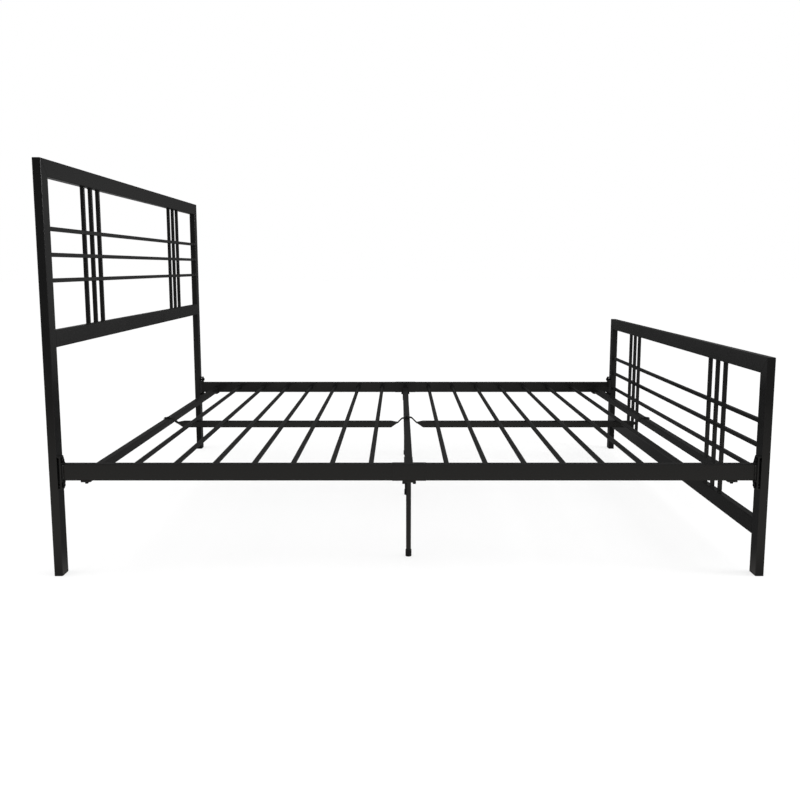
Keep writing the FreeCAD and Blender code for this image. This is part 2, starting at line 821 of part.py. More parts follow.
def pressed_strip(points):
    """A flat strip that lies on a cross-member, then bends down and out to its tube."""
    half_thick = s.press_thick.value / 2
    width = s.press_width.value
    bends = [s.press_bend.value, s.foot_bend.value]
    upper = strip_side(points, bends, half_thick)
    lower = strip_side(points, bends, -half_thick)
    ends = [
        Part.LineSegment(upper[0].Vertexes[0].Point, lower[0].Vertexes[0].Point).toShape(),
        Part.LineSegment(upper[-1].Vertexes[-1].Point, lower[-1].Vertexes[-1].Point).toShape(),
    ]
    outline = Part.Wire(Part.sortEdges(upper + lower + ends)[0])
    outline.translate(Vector(0, -width / 2, 0))
    return Part.Face(outline).extrude(Vector(0, width, 0))


def support_tube(label, end, stack):
    """A square tube under the slats, whose pressed ends rise to lie on the cross-members.

    The inner end lies on the centre beam, or on the other tube's strip where stack is
    one strip thick, and the outer end lies on the cross-member by the board."""
    press = s.press_thick.value
    tube_z = support_z.value
    foot_z = tube_z + s.press_lift.value
    inner_z = beam_top.value + stack + press / 2
    outer_z = member_top.value + press / 2
    half_member = s.member_side.value / 2
    inner_top = half_member + s.centre_step.value
    inner_foot = inner_top + inner_z - foot_z
    inner_taper = inner_foot + s.press_run.value
    tube_start = inner_taper + s.taper_length.value
    outer_top = member_x.value - half_member - s.end_step.value
    outer_foot = outer_top - (outer_z - foot_z)
    outer_taper = outer_foot - s.press_run.value
    tube_end = outer_taper - s.taper_length.value
    tip = member_x.value + half_member + s.end_overhang.value

    def strip(stations):
        return pressed_strip([Vector(end * x, 0, z) for x, z in stations])

    inner = strip([(-s.centre_lap.value, inner_z), (inner_top, inner_z),
                   (inner_foot, foot_z), (inner_taper, foot_z)])
    outer = strip([(tip, outer_z), (outer_top, outer_z),
                   (outer_foot, foot_z), (outer_taper, foot_z)])
    side = s.support_side.value
    inside = side - 2 * s.support_wall.value
    corner = s.tube_round.value
    inner_corner = corner * s.inner_round_share.value
    tube = prism(end * tube_start, end * tube_end, tube_z, side, side, corner)
    bore = prism(end * tube_start, end * tube_end, tube_z, inside, inside, inner_corner)
    shape = tube.cut(bore)
    shape = shape.fuse([
        taper(end * inner_taper, end * tube_start, foot_z, tube_z),
        taper(end * outer_taper, end * tube_end, foot_z, tube_z),
        inner,
        outer,
    ]).removeSplitter()
    depth = 4 * press
    for x, z in ((0, inner_z), (end * member_x.value, outer_z)):
        drill_bit = Part.makeCylinder(small_hole.value, depth, Vector(x, 0, z - depth / 2))
        shape = shape.cut(drill_bit)
    piece = doc.addObject("Part::Feature", label)
    piece.Shape = shape
    keep(label, piece)


# ---------------------------------------------------------------- centre legs

def saddle(label, side):
    """A channel round the lower half of the beam, bolted up into it."""
    inner = s.member_side / 2 + s.saddle_fit
    outer = inner + s.saddle_wall
    body = new_body(label, (ZERO, side * leg_y, beam_bottom))
    sketch = sketch_on(body, f"{label}_section", Y_AXIS)
    add_polygon(sketch, "channel", [
        (-outer, -s.saddle_wall), (outer, -s.saddle_wall), (outer, s.saddle_rise),
        (inner, s.saddle_rise), (inner, ZERO), (-inner, ZERO),
        (-inner, s.saddle_rise), (-outer, s.saddle_rise),
    ])
    extrude(body, "Pad", f"{label}_run", sketch, s.saddle_length)
    holes = [(ZERO, s.saddle_bolt * way, small_hole) for way in (-1, 1)]
    drill(body, f"{label}_bolt_holes", Z_AXIS, -s.saddle_wall / 2, holes, 2 * s.saddle_wall)
    keep(label, body)


def leg_pad(label):
    """The plate between the middle leg and the beam."""
    body = new_body(label, (ZERO, ZERO, beam_bottom - s.saddle_wall / 2))
    outline = sketch_on(body, f"{label}_outline", Z_AXIS)
    add_rounded(outline, "pad", s.member_side, s.pad_length, s.tube_round)
    extrude(body, "Pad", f"{label}_plate", outline, s.saddle_wall)
    holes = [(ZERO, s.pad_bolt * way, small_hole) for way in (-1, 1)]
    drill(body, f"{label}_bolt_holes", Z_AXIS, ZERO, holes, 2 * s.saddle_wall)
    keep(label, body)


def leg(label, y):
    top = beam_bottom - s.saddle_wall
    length = top - s.cap_floor
    keep(label, round_tube(label, Z_AXIS, (ZERO, y, s.cap_floor + length / 2),
                           s.leg_diameter, s.leg_wall, length))


def leg_caps(label, places):
    """Plastic cups that the legs stand in."""
    bore = s.leg_diameter / 2 + s.cap_fit
    outer = bore + s.cap_wall
    chamfer = s.cap_wall / 2
    caps = []
    for number, y in enumerate(places, start=1):
        caps.append(turned(f"{label}_{number}", (ZERO, y, ZERO), None, [
            (ZERO, ZERO),
            (outer - chamfer, ZERO),
            (outer, chamfer),
            (outer, s.cap_height - chamfer),
            (outer - chamfer, s.cap_height),
            (bore, s.cap_height),
            (bore, s.cap_floor),
            (ZERO, s.cap_floor),
        ]))
    keep_group(label, caps)


# ---------------------------------------------------------------- bolts and inserts

POINT_TO_MINUS_X = Rotation(Vector(0, 1, 0), 90)
POINT_TO_PLUS_X = Rotation(Vector(0, 1, 0), -90)
POINT_UP = Rotation(Vector(1, 0, 0), 180)
POINT_DOWN = Rotation()


class BoltKind:
    """Thread and length of a bolt, with the size, edge and key of its head."""

    def __init__(self, thread, length, head, height, edge_share, key):
        self.shank = thread / 2
        self.length = length
        self.tip = thread * s.tip_share
        self.rim = head / 2
        self.height = height
        self.edge = height * edge_share
        self.key = key


BIG_BOLT = BoltKind(s.big_thread, s.big_length, s.big_head, s.big_head_height,
                    s.dome_share, s.big_key)
LOW_BOLT = BoltKind(s.small_thread, s.small_length, s.small_head, s.small_head_height,
                    s.dome_share, s.small_key)
TALL_BOLT = BoltKind(s.small_thread, s.small_length, s.tall_head, s.tall_head_height,
                     s.tall_chamfer_share, s.tall_key)


def bolt(label, place, rotation, kind):
    """A bolt with a key socket, its shank pointing down from the underside of its head."""
    body = turned(label, place, rotation, [
        (ZERO, -kind.length),
        (kind.shank - kind.tip, -kind.length),
        (kind.shank, kind.tip - kind.length),
        (kind.shank, ZERO),
        (kind.rim, ZERO),
        (kind.rim, kind.height - kind.edge),
        (kind.rim - kind.edge, kind.height),
        (ZERO, kind.height),
    ])
    socket = sketch_on(body, f"{label}_key", Z_AXIS, kind.height)
    add_hexagon(socket, "key", kind.key)
    extrude(body, "Pocket", f"{label}_socket", socket, 2 * s.key_depth_share * kind.height)
    return body


def insert(label, place, rotation, thread, barrel, collar, length, wall):
    """A blind-rivet insert, flush with the tube's face, its collar swelled behind it."""
    bore = thread / 2 + s.thread_fit
    back = -wall - s.collar_thick
    return turned(label, place, rotation, [
        (bore, ZERO),
        (barrel / 2, ZERO),
        (barrel / 2, -wall),
        (collar / 2, -wall),
        (collar / 2, back),
        (barrel / 2, back),
        (barrel / 2, -length),
        (bore, -length),
    ])


def washer(label, place, rotation):
    hole = s.big_thread / 2 + s.bolt_hole_fit / 2
    return turned(label, place, rotation, [
        (hole, ZERO), (s.big_washer / 2, ZERO),
        (s.big_washer / 2, s.big_washer_thick), (hole, s.big_washer_thick),
    ])


def corner_fasteners():
    """Two bolts through each bracket into inserts in the post."""
    bolts = []
    washers = []
    inserts = []
    for end_name, end in ENDS.items():
        rotation = POINT_TO_MINUS_X if end < 0 else POINT_TO_PLUS_X
        for side_name, side in SIDES.items():
            y = side * ear_bolt_y
            for level, z in enumerate(ear_bolt_z, start=1):
                tag = f"{end_name}_{side_name}_{level}"
                washers.append(washer(f"corner_washer_{tag}", (end * rail_end_x, y, z), rotation))
                seat = end * (rail_end_x - s.big_washer_thick)
                bolts.append(bolt(f"corner_bolt_{tag}", (seat, y, z), rotation, BIG_BOLT))
                inserts.append(insert(f"corner_insert_{tag}", (end * board_inner_x, y, z),
                                      rotation, s.big_thread, s.big_insert, s.big_collar,
                                      s.big_insert_length, s.board_wall))
    keep_group("corner_bolts", bolts)
    keep_group("corner_washers", washers)
    keep_group("corner_inserts", inserts)


def small_insert(label, place, rotation, wall):
    return insert(label, place, rotation, s.small_thread, s.small_insert, s.small_collar,
                  s.small_insert_length, wall)


def tab_fasteners():
    """Bolts up through the tabs into inserts in the undersides of the rails."""
    bolts = []
    inserts = []
    for side_name, side in SIDES.items():
        for end_name, end in ENDS.items():
            for x, top in ((member_x, rail_bottom), (s.centre_tab_bolt, beam_bottom)):
                tag = f"{side_name}_{end_name}_{'end' if x is member_x else 'centre'}"
                place = (end * x, side * rail_y, top - s.tab_thick)
                bolts.append(bolt(f"tab_bolt_{tag}", place, POINT_UP, TALL_BOLT))
                place = (end * x, side * rail_y, rail_bottom)
                inserts.append(small_insert(f"rail_insert_{tag}", place, POINT_UP, s.rail_wall))
    keep_group("tab_bolts", bolts)
    keep_group("rail_inserts", inserts)


def support_fasteners():
    """Bolts down through the pressed ends into the cross-members."""
    seats = [
        ("head", -member_x, member_top, s.press_thick),
        ("centre", ZERO, beam_top, 2 * s.press_thick),
        ("foot", member_x, member_top, s.press_thick),
    ]
    bolts = []
    inserts = []
    for tag, x, top, stack in seats:
        seat = (x, ZERO, top + stack)
        bolts.append(bolt(f"support_bolt_{tag}", seat, POINT_DOWN, LOW_BOLT))
        inserts.append(small_insert(f"support_insert_{tag}", (x, ZERO, top), POINT_DOWN,
                                    s.member_wall))
    keep_group("support_bolts", bolts)
    keep_group("support_inserts", inserts)


def leg_fasteners():
    """Bolts up through the saddles and the pad into the centre beam."""
    bolts = []
    inserts = []
    for number, y in enumerate(leg_bolt_places(), start=1):
        seat = (ZERO, y, beam_bottom - s.saddle_wall)
        bolts.append(bolt(f"leg_bolt_{number}", seat, POINT_UP, LOW_BOLT))
        inserts.append(small_insert(f"leg_insert_{number}", (ZERO, y, beam_bottom), POINT_UP,
                                    s.member_wall))
    keep_group("leg_bolts", bolts)
    keep_group("leg_inserts", inserts)


# ---------------------------------------------------------------- the whole frame

def build():
    end_board("head", s.head_height)
    end_board("foot", s.foot_height)
    for side_name, side in SIDES.items():
        for end_name, end in ENDS.items():
            side_rail(f"side_rail_{side_name}_{end_name}", end, side)
            corner_bracket(f"corner_bracket_{end_name}_{side_name}", end, side)
            slat_sockets(f"slat_sockets_{side_name}_{end_name}", end, side)
        splice(f"rail_splice_{side_name}", side)
        saddle(f"leg_saddle_{side_name}", side)
        leg(f"centre_leg_{side_name}", side * leg_y)
    for end_name, end in ENDS.items():
        slats(f"slats_{end_name}_half", end)
        end_member(f"{end_name}_cross_member", end)
    centre_beam("centre_beam")
    tabs()
    support_tube("support_tube_head", ENDS["head"], 0)
    support_tube("support_tube_foot", ENDS["foot"], s.press_thick.value)
    leg("centre_leg_middle", ZERO)
    leg_pad("middle_leg_pad")
    leg_caps("leg_caps", [-leg_y, ZERO, leg_y])
    corner_fasteners()
    tab_fasteners()
    support_fasteners()
    leg_fasteners()
    doc.recompute()


def check():
    for item in doc.Objects:
        if "Invalid" in item.State or "Error" in item.State:
            raise RuntimeError(f"{item.Label} did not rebuild: {item.State}")
    for label, piece in nodes.items():
        if piece.Shape.isNull() or not piece.Shape.isValid() or not piece.Shape.Solids:
            raise RuntimeError(f"{label} has no sound shape")


def write():
    os.makedirs("parts", exist_ok=True)
    for label, piece in nodes.items():
        piece.Shape.exportStep(os.path.join("parts", f"{label}.step"))
        print(label, len(piece.Shape.Solids), "solids", round(piece.Shape.Volume), "mm3")


build()
check()
write()
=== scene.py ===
"""Metal bed frame: finishes of its tubes, fittings and fasteners, weld beads, and a pale studio.

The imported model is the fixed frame. Weld beads are surfaces worked out with numpy from the boxes
of the pieces that they join, and every length in this file is in metres.
"""

import math

import bpy
import numpy as np
from bpy.props import FloatProperty, FloatVectorProperty, PointerProperty
from bpy.types import Operator, Panel, PropertyGroup
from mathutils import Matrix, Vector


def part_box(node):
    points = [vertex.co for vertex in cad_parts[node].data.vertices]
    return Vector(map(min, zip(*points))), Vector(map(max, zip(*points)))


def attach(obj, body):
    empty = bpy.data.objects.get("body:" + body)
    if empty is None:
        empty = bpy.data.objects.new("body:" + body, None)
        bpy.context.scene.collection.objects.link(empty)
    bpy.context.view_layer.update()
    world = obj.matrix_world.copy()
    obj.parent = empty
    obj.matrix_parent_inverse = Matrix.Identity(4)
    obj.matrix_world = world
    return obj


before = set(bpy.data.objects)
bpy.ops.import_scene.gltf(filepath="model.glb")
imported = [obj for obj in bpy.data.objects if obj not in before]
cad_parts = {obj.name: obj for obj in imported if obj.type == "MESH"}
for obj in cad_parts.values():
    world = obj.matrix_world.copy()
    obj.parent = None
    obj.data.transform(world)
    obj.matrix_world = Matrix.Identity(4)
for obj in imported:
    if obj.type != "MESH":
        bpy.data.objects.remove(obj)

bl_info = {
    "name": "Metal Bed Frame",
    "version": (1, 0, 0),
    "blender": (4, 5, 0),
    "location": "3D View > Sidebar > Bed Frame",
    "description": "Finishes, weld beads and studio of a metal bed frame",
    "category": "Object",
}

MM = 0.001
BODY = "root"
BOARDS = ("head", "foot")
SIDES = ("left", "right")
AXES = {"x": 0, "y": 1, "z": 2}
X, Y, Z = np.eye(3)

# corner radii of the box tubes and of the thin bars
TUBE_ROUND = 2.5 * MM
BAR_ROUND = 1.2 * MM
# half widths of the flush beads, and how far below the face their roots lie
FILL_HALF = 1.3 * MM
FILL_INSET = 0.48 * MM
THIN_FILL_HALF = 0.7 * MM
THIN_FILL_INSET = 0.25 * MM
SEAM_HALF = 1.4 * MM
# gaps that tell one bar or upright from the next, and one tab from the other
BAR_GAP = 20 * MM
TAB_GAP = 500 * MM
# fewest steps of a bead's root line, straight or round
LINE_STEPS = 4
RING_STEPS = 12

# levels that the coat mirrors, by direction and on the floor
WHITE = (1.0, 1.0, 1.0, 1.0)
BLACK = (0.0, 0.0, 0.0, 1.0)
SURROUND_SIDES = (0.17, 0.17, 0.17, 1.0)
SURROUND_BACK = (0.05, 0.05, 0.05, 1.0)
SURROUND_FRONT = (0.125, 0.125, 0.125, 1.0)
SURROUND_HIGH = (0.045, 0.045, 0.045, 1.0)
SURROUND_ZENITH = (0.3, 0.3, 0.3, 1.0)
# painted shadow and painted light on the floor, shown only to mirrored rays: a dim glow near the
# bed and a bright glow in a stretch in front of it
FLOOR_PAINTED_SHADOW = (0.07, 0.07, 0.07, 1.0)
FLOOR_PAINTED_LIGHT = (0.47, 0.455, 0.43, 1.0)
# where one level passes into the next: coordinates of a direction of length 1
BACK_TO_SIDES = (0.16, 0.42)
FRONT_TO_BACK = (-0.85, -0.1)
LOW_TO_HIGH = (0.09, 0.18)
HIGH_TO_ZENITH = (0.55, 0.95)
# the same on the floor, in metres: where the painted shadow near the bed fades out, where the
# painted lit stretch starts and ends, and how much that stretch narrows towards the bed's middle
PAINTED_SHADOW_FADE = (1.2, 2.8)
LIT_START = (-4.8, -2.2)
LIT_END = (-0.7, -0.1)
LIT_NARROWING = 0.6

# the tall lamps: sizes, places and how they turn to the bed
OVERHEAD_ANGLE = math.radians(118)
LAMP_SIZE = 2.4
LAMP_REACH = 5.5
LAMP_Y = -1.6
LAMP_HEIGHT = 2.75
LAMP_TURN = math.radians(104)
LAMP_TILT = math.radians(82)
HEAD_LAMP_SHARE = 0.4
SENSOR = 36


# ---------------------------------------------------------------- settings


class CoatSettings(PropertyGroup):
    """Colours and texture of the powder coat, the plastic and the fasteners."""

    frame_colour: FloatVectorProperty(
        name="Frame colour", description="Powder coat on the box tubes and plates",
        subtype="COLOR", size=3, min=0, max=1, default=(0.0103, 0.0102, 0.0100),
    )
    slat_colour: FloatVectorProperty(
        name="Slat colour", description="Powder coat on the round slats and legs",
        subtype="COLOR", size=3, min=0, max=1, default=(0.0122, 0.0121, 0.0119),
    )
    plastic_colour: FloatVectorProperty(
        name="Plastic colour", description="Moulded glides, caps and slat sockets",
        subtype="COLOR", size=3, min=0, max=1, default=(0.0085, 0.0085, 0.0088),
    )
    roughness: FloatProperty(
        name="Roughness", description="Mean roughness of the powder coat",
        subtype="FACTOR", min=0, max=1, default=0.2,
    )
    peel_size: FloatProperty(
        name="Peel size", description="Width of one ripple of the coat's orange peel",
        subtype="DISTANCE", unit="LENGTH", min=0.0005, max=0.01, default=0.0022,
    )
    peel_depth: FloatProperty(
        name="Peel depth", description="Height of the orange peel",
        subtype="DISTANCE", unit="LENGTH", min=0, max=0.001, default=0.000012,
    )


class WeldSettings(PropertyGroup):
    """Sizes of the weld beads."""

    rail_leg: FloatProperty(
        name="Rail bead", description="Leg of the beads on the 25 x 50 tubes and brackets",
        subtype="DISTANCE", unit="LENGTH", min=0.001, max=0.006, default=0.003,
    )
    bar_leg: FloatProperty(
        name="Bar bead", description="Leg of the beads on the thin bars and uprights",
        subtype="DISTANCE", unit="LENGTH", min=0.0005, max=0.004, default=0.0018,
    )
    tab_leg: FloatProperty(
        name="Tab bead", description="Leg of the beads beside the cross-members",
        subtype="DISTANCE", unit="LENGTH", min=0.0005, max=0.003, default=0.0018,
    )
    ripple_pitch: FloatProperty(
        name="Ripple pitch", description="Length of one ripple along a bead",
        subtype="DISTANCE", unit="LENGTH", min=0.0005, max=0.005, default=0.0017,
    )
    ripple_depth: FloatProperty(
        name="Ripple depth", description="Height of a ripple as a share of the bead's leg",
        subtype="FACTOR", min=0, max=0.5, default=0.16,
    )


class StageSettings(PropertyGroup):
    """The floor, the lights and the camera."""

    floor_colour: FloatVectorProperty(
        name="Floor colour", description="Plain pale floor",
        subtype="COLOR", size=3, min=0, max=1, default=(0.965, 0.965, 0.965),
    )
    floor_shade: FloatProperty(
        name="Floor shade", description="Share of the floor's brightness that shadows take away",
        subtype="FACTOR", min=0, max=1, default=0.3,
    )
    floor_radius: FloatProperty(
        name="Floor radius", description="Radius of the round floor",
        subtype="DISTANCE", unit="LENGTH", min=3, max=100, default=60,
    )
    overhead_power: FloatProperty(
        name="Overhead light", description="Power of the large light above the bed",
        subtype="POWER", unit="POWER", min=0, max=50, default=3.2,
    )
    side_power: FloatProperty(
        name="Side light", description="Power of the tall light beyond the footboard",
        subtype="POWER", unit="POWER", min=0, max=5000, default=185.0,
    )
    camera_place: FloatVectorProperty(
        name="Camera place", description="Where the camera stands",
        subtype="TRANSLATION", unit="LENGTH", size=3, default=(-0.0271, -3.6624, 0.9152),
    )
    camera_pitch: FloatProperty(
        name="Camera pitch", description="How far the camera looks down",
        subtype="ANGLE", unit="ROTATION", default=math.radians(8.195),
    )
    camera_lens: FloatProperty(
        name="Lens", description="Focal length in millimetres", min=10, max=200, default=41.571,
    )


# ---------------------------------------------------------------- finishes


def scaled(colour, share):
    """The colour times a share, opaque."""
    return (*[channel * share for channel in colour], 1.0)


class Tree:
    """A node tree, with one call for each node that joins its inputs as it is made."""

    def __init__(self, owner):
        owner.use_nodes = True
        self.tree = owner.node_tree
        self.tree.nodes.clear()

    def node(self, kind, *ordered, settings=(), **named):
        """A node with its plain settings, and its inputs in order or by name.

        Each input is a socket to link or a value to set."""
        made = self.tree.nodes.new("ShaderNode" + kind)
        for key, value in dict(settings).items():
            setattr(made, key, value)
        for number, value in enumerate(ordered):
            self.join(value, made.inputs[number])
        for key, value in named.items():
            self.join(value, made.inputs[key.replace("_", " ")])
        return made

    def join(self, value, socket):
        """The value goes into the socket as a link, or as a constant on the socket itself."""
        if isinstance(value, bpy.types.NodeSocket):
            self.tree.links.new(value, socket)
        else:
            socket.default_value = value

    def ramp(self, value, low, high, start=0.3, end=0.7):
        """The value from start to end becomes low to high on a smooth step, level beyond them."""
        smooth = {"interpolation_type": "SMOOTHSTEP"}
        made = self.node("MapRange", value, start, end, low, high, settings=smooth)
        return made.outputs["Result"]

    def rise(self, value, span):
        """0 before the span of the value, 1 after it."""
        return self.ramp(value, 0.0, 1.0, *span)

    def fall(self, value, span):
        """1 before the span of the value, 0 after it."""
        return self.ramp(value, 1.0, 0.0, *span)

    def math(self, operation, *values):
        """The result of a Math node."""
        return self.node("Math", *values, settings={"operation": operation}).outputs[0]

    def blend(self, factor, first, second):
        """The colour from first to second as the factor goes from 0 to 1."""
        return self.node("MixRGB", factor, first, second).outputs["Color"]


class Shader(Tree):
    """A material with one Principled surface, patterned on the object's own coordinates."""

    def __init__(self, name):
        self.material = bpy.data.materials.new(name)
        super().__init__(self.material)
        self.surface = self.node("BsdfPrincipled")
        self.node("OutputMaterial", self.surface.outputs["BSDF"])
        self.place = self.node("TexCoord").outputs["Object"]

    def finish(self, **inputs):
        """Sets the surface's sockets and returns the material."""
        for key, value in inputs.items():
            self.join(value, self.surface.inputs[key.replace("_", " ")])
        return self.material

    def noise(self, size, detail=2.0, stretch=None):
        """Smooth noise in lumps about size wide, longer along an axis whose stretch is under 1."""
        place = self.place
        if stretch:
            place = self.node("Mapping", place, Scale=stretch).outputs["Vector"]
        return self.node("TexNoise", place, Scale=1 / size, Detail=detail).outputs["Fac"]

    def shade(self, colour, value, low, high, start=0.3, end=0.7):
        """The colour from low to high times its strength, as the value goes from start to end."""
        dark, pale = scaled(colour, low), scaled(colour, high)
        return self.blend(self.rise(value, (start, end)), dark, pale)

    def bump(self, height, depth, under=None):
        """A relief of that depth, laid over another one if under is given."""
        made = self.node("Bump", Height=height, Distance=depth, Strength=1.0)
        if under is not None:
            self.join(under, made.inputs["Normal"])
        return made.outputs["Normal"]


def powder_coat(name, colour, grain=None):
    """Semi-gloss powder coat: orange peel over the drawn tube's faint lines, with soft clouds.

    The grain is the axis that the drawn lines run along, and a plate has none."""
    coat = bpy.context.scene.bed_coat
    shader = Shader(name)
    clouds = shader.noise(size=90 * MM, detail=3.0)
    speck = shader.noise(size=0.45 * MM, detail=1.0)
    relief = None
    if grain:
        stretch = [1.0, 1.0, 1.0]
        stretch[AXES[grain]] = 0.02
        lines = shader.noise(size=1.3 * MM, stretch=stretch)
        relief = shader.bump(lines, depth=0.005 * MM)
    peel = shader.noise(coat.peel_size, detail=1.5)
    relief = shader.bump(peel, coat.peel_depth, relief)
    relief = shader.bump(speck, depth=0.0015 * MM, under=relief)
    return shader.finish(
        Base_Color=shader.shade(colour, clouds, low=0.94, high=1.06),
        Roughness=shader.ramp(clouds, low=coat.roughness - 0.02, high=coat.roughness + 0.03),
        IOR=1.5,
        Specular_IOR_Level=0.5,
        Normal=relief,
    )


def moulded_plastic(name):
    """Moulded black plastic: a fine spark-eroded grain, duller where the noise is high."""
    coat = bpy.context.scene.bed_coat
    shader = Shader(name)
    grain = shader.noise(size=0.35 * MM)
    clouds = shader.noise(size=12 * MM)
    return shader.finish(
        Base_Color=shader.shade(coat.plastic_colour, clouds, low=0.85, high=1.25),
        Roughness=shader.ramp(grain, low=0.5, high=0.66),
        IOR=1.49,
        Specular_IOR_Level=0.3,
        Normal=shader.bump(grain, depth=0.03 * MM),
    )


def blackened_steel(name):
    """Black oxide on steel: dark metal, with pale rubbed spots and fine scratches."""
    shader = Shader(name)
    oxide = (0.018, 0.018, 0.019)
    rubbed = shader.noise(size=2.5 * MM, detail=4.0)
    scratches = shader.noise(size=0.25 * MM, detail=1.0, stretch=(1.0, 1.0, 0.05))
    return shader.finish(
        Base_Color=shader.shade(oxide, rubbed, low=0.8, high=2.4, start=0.5, end=0.8),
        Metallic=0.85,
        Roughness=shader.ramp(rubbed, low=0.5, high=0.36, start=0.4, end=0.7),
        Normal=shader.bump(scratches, depth=0.01 * MM),
    )


def zinc_plate(name):
    """Zinc plating: a bright metal with small dull patches and a faint yellow cast."""
    shader = Shader(name)
    zinc = (0.58, 0.58, 0.55)
    patches = shader.noise(size=3 * MM, detail=3.0)
    return shader.finish(
        Base_Color=shader.shade(zinc, patches, low=0.75, high=1.1),
        Metallic=1.0,
        Roughness=shader.ramp(patches, low=0.25, high=0.45),
        Normal=shader.bump(shader.noise(size=0.5 * MM), depth=0.01 * MM),
    )


def paint(node, material):
    """The CAD node's object shows this material in each of its slots."""
    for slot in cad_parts[node].material_slots:
        slot.link = "OBJECT"
        slot.material = material


def slot_of(node):
    """The record's material slot that a CAD node was packed with."""
    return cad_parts[node].data.materials[0].name


# ---------------------------------------------------------------- weld beads


def fillet(steps, power=1.35, buried=0.25):
    """Section of a bead in a corner, in legs: x^power + y^power = 1, closed inside the metal."""
    turn = np.linspace(0, math.pi / 2, steps)
    face = np.stack([np.cos(turn), np.sin(turn)], 1) ** (2 / power)
    back = np.array([[-buried, 1.0], [-buried, -buried], [1.0, -buried]])
    return np.concatenate([face, back]), np.repeat([1, 0], [steps, len(back)])


def dome(steps, cap=0.3, buried=0.6, keel=0.7):
    """Section of a flush bead, in half widths: y = cap * (1 - x^2), closed below the surface."""
    across = np.linspace(1, -1, steps)
    face = np.stack([across, cap * (1 - across**2)], 1)
    back = np.array([[-1.0, -buried], [0.0, -keel], [1.0, -buried]])
    return np.concatenate([face, back]), np.repeat([1, 0], [steps, len(back)])


def bead(root, first, second, leg, section, closed=False, crescent=0.45, least=0.04):
    """Points and four-sided faces of one weld bead.

    At each point of the root line the section stands on the two directions, which lie in the two
    joined surfaces: point = root + leg * grow * (x * first + y * second). Grow is
    1 + depth * (1/2 - t^2), where t runs from 0 to 1 over each ripple. At the middle of the face
    t is ahead by the share named crescent, which bends the ripples. An open bead's leg follows a
    quarter ellipse over its last leg at both ends, and its square never falls below least. Its
    section has an even number of points, so that four-sided faces close both ends.
    """
    weld = bpy.context.scene.bed_weld
    shape, moves = section
    steps = np.linalg.norm(np.roll(root, -1, 0) - root, axis=1)
    run = np.concatenate([[0], np.cumsum(steps)[:-1]])
    whole = run[-1] + steps[-1] if closed else run[-1]
    ripples = max(1, round(whole / weld.ripple_pitch))
    lean = crescent * np.sin(np.linspace(0, math.pi, len(shape))) * moves
    phase = (run[:, None] / whole * ripples + lean[None, :]) % 1
    grow = 1 + weld.ripple_depth * (0.5 - phase**2) * moves[None, :]
    if not closed:
        near = np.clip(np.minimum(run, whole - run) / leg, 0, 1)
        grow = grow * np.sqrt(np.clip(1 - (1 - near) ** 2, least, 1))[:, None]
    out = shape[None, :, :] * grow[:, :, None] * leg
    points = root[:, None] + out[..., :1] * first[:, None] + out[..., 1:] * second[:, None]
    rows, columns = grow.shape
    i = np.arange(rows if closed else rows - 1)[:, None]
    j = np.arange(columns)[None, :]
    following, beside = (i + 1) % rows, (j + 1) % columns
    here, ahead = i * columns, following * columns
    faces = np.stack([here + j, ahead + j, ahead + beside, here + beside], -1).reshape(-1, 4)
    if not closed:
        if columns % 2:
            raise RuntimeError("an open bead needs a section with an even number of points")
        k = np.arange(columns // 2 - 1)
        lid = np.stack([k, k + 1, columns - 2 - k, columns - 1 - k], -1)
        faces = np.concatenate([faces, lid[:, ::-1], lid + (rows - 1) * columns])
    points = points.reshape(-1, 3)
    return points, outward(points, faces)


def outward(points, faces):
    """The faces, turned if the volume they enclose comes out negative."""
    a, b, c, d = (points[faces[:, n]] for n in range(4))
    volume = np.einsum("ij,ij->", a, np.cross(b, c)) + np.einsum("ij,ij->", a, np.cross(c, d))
    return faces if volume > 0 else faces[:, ::-1]


def line(start, end, first, second, density=3):
    """Root line from start to end with its two directions, in density steps to each ripple."""
    pitch = bpy.context.scene.bed_weld.ripple_pitch
    start, end = np.array(start, float), np.array(end, float)
    count = max(LINE_STEPS, round(np.linalg.norm(end - start) / pitch * density))
    t = np.linspace(0, 1, count + 1)[:, None]
    root = start + t * (end - start)
    return root, np.repeat([first], count + 1, 0), np.repeat([second], count + 1, 0)


def ring(centre, wide, tall, half_wide, half_tall, corner, axis, density=3):
    """Root line round a tube's rounded outline, with the outward and the lengthwise direction.

    The outline is a rectangle inset by the corner's radius, plus that radius along the normal,
    whose angle turns only at the corners: arc length is shared between straight sides and
    quarter circles.
    """
    pitch = bpy.context.scene.bed_weld.ripple_pitch
    a, b = half_wide - corner, half_tall - corner
    quarter = math.pi / 2
    arc = quarter * corner
    lengths = np.array([2 * b, arc, 2 * a, arc, 2 * b, arc, 2 * a, arc])
    marks = np.concatenate([[0], np.cumsum(lengths)])
    count = max(RING_STEPS, round(marks[-1] / pitch * density))
    run = np.arange(count) / count * marks[-1]
    turn = np.interp(run, marks, np.array([0, 0, 1, 1, 2, 2, 3, 3, 4]) * quarter)
    x = np.interp(run, marks, [a, a, a, -a, -a, -a, -a, a, a])
    y = np.interp(run, marks, [-b, b, b, b, b, -b, -b, -b, -b])
    first = np.cos(turn)[:, None] * wide + np.sin(turn)[:, None] * tall
    root = centre + x[:, None] * wide + y[:, None] * tall + corner * first
    return root, first, np.repeat([axis], count, 0)


